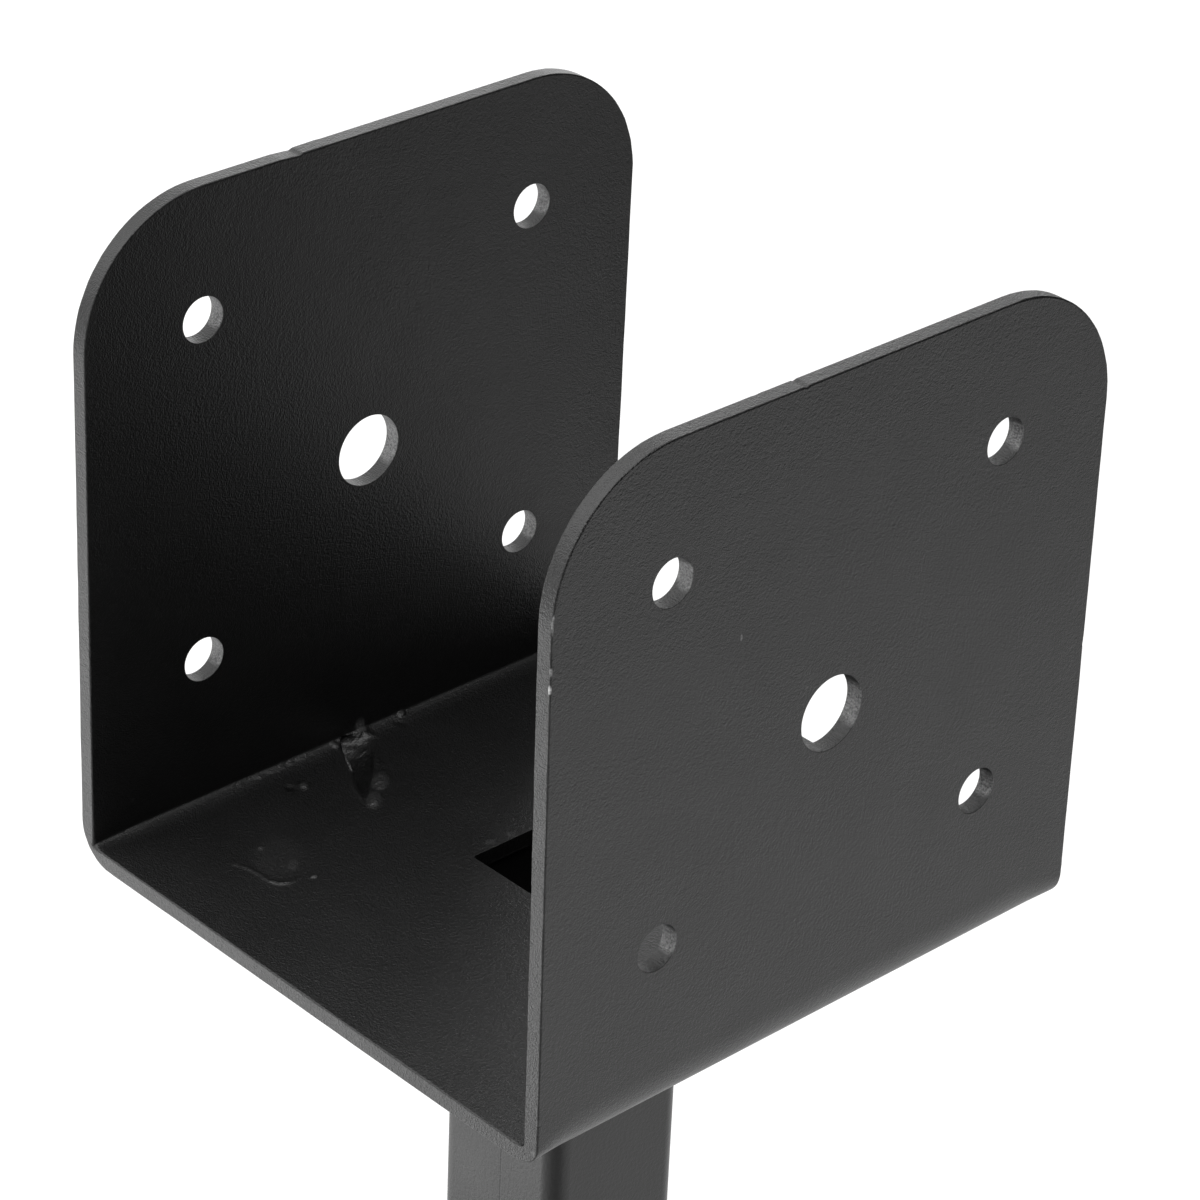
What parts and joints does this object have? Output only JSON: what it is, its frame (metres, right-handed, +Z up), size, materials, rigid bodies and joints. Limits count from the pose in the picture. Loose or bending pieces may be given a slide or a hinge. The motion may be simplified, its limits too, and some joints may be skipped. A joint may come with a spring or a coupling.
{
  "type": "roof riser bracket",
  "caption": "Folded steel beam saddle with drilled, round-cornered ears, welded on a square post with a flat bolt-down base plate.",
  "frame": {"origin": "middle of the base plate's underside, on the surface that the bracket stands on", "axes": "+Z up along the post, +X across the saddle towards the near ear, +Y along the beam that the saddle holds"},
  "size_m": [0.1524, 0.1524, 0.4636],
  "materials": {
    "saddle_coat": "fine-textured satin black powder coat over steel plate",
    "post_coat": "smoother satin black powder coat over square steel tube",
    "base_coat": "fine-textured satin black powder coat over steel plate",
    "weld_coat": "satin black powder coat over a rippled weld bead"
  },
  "bodies": {
    "root": {"saddle": "saddle_coat", "post": "post_coat", "base_plate": "base_coat", "saddle_weld": "weld_coat", "base_weld": "weld_coat"}
  },
  "joints": []
}
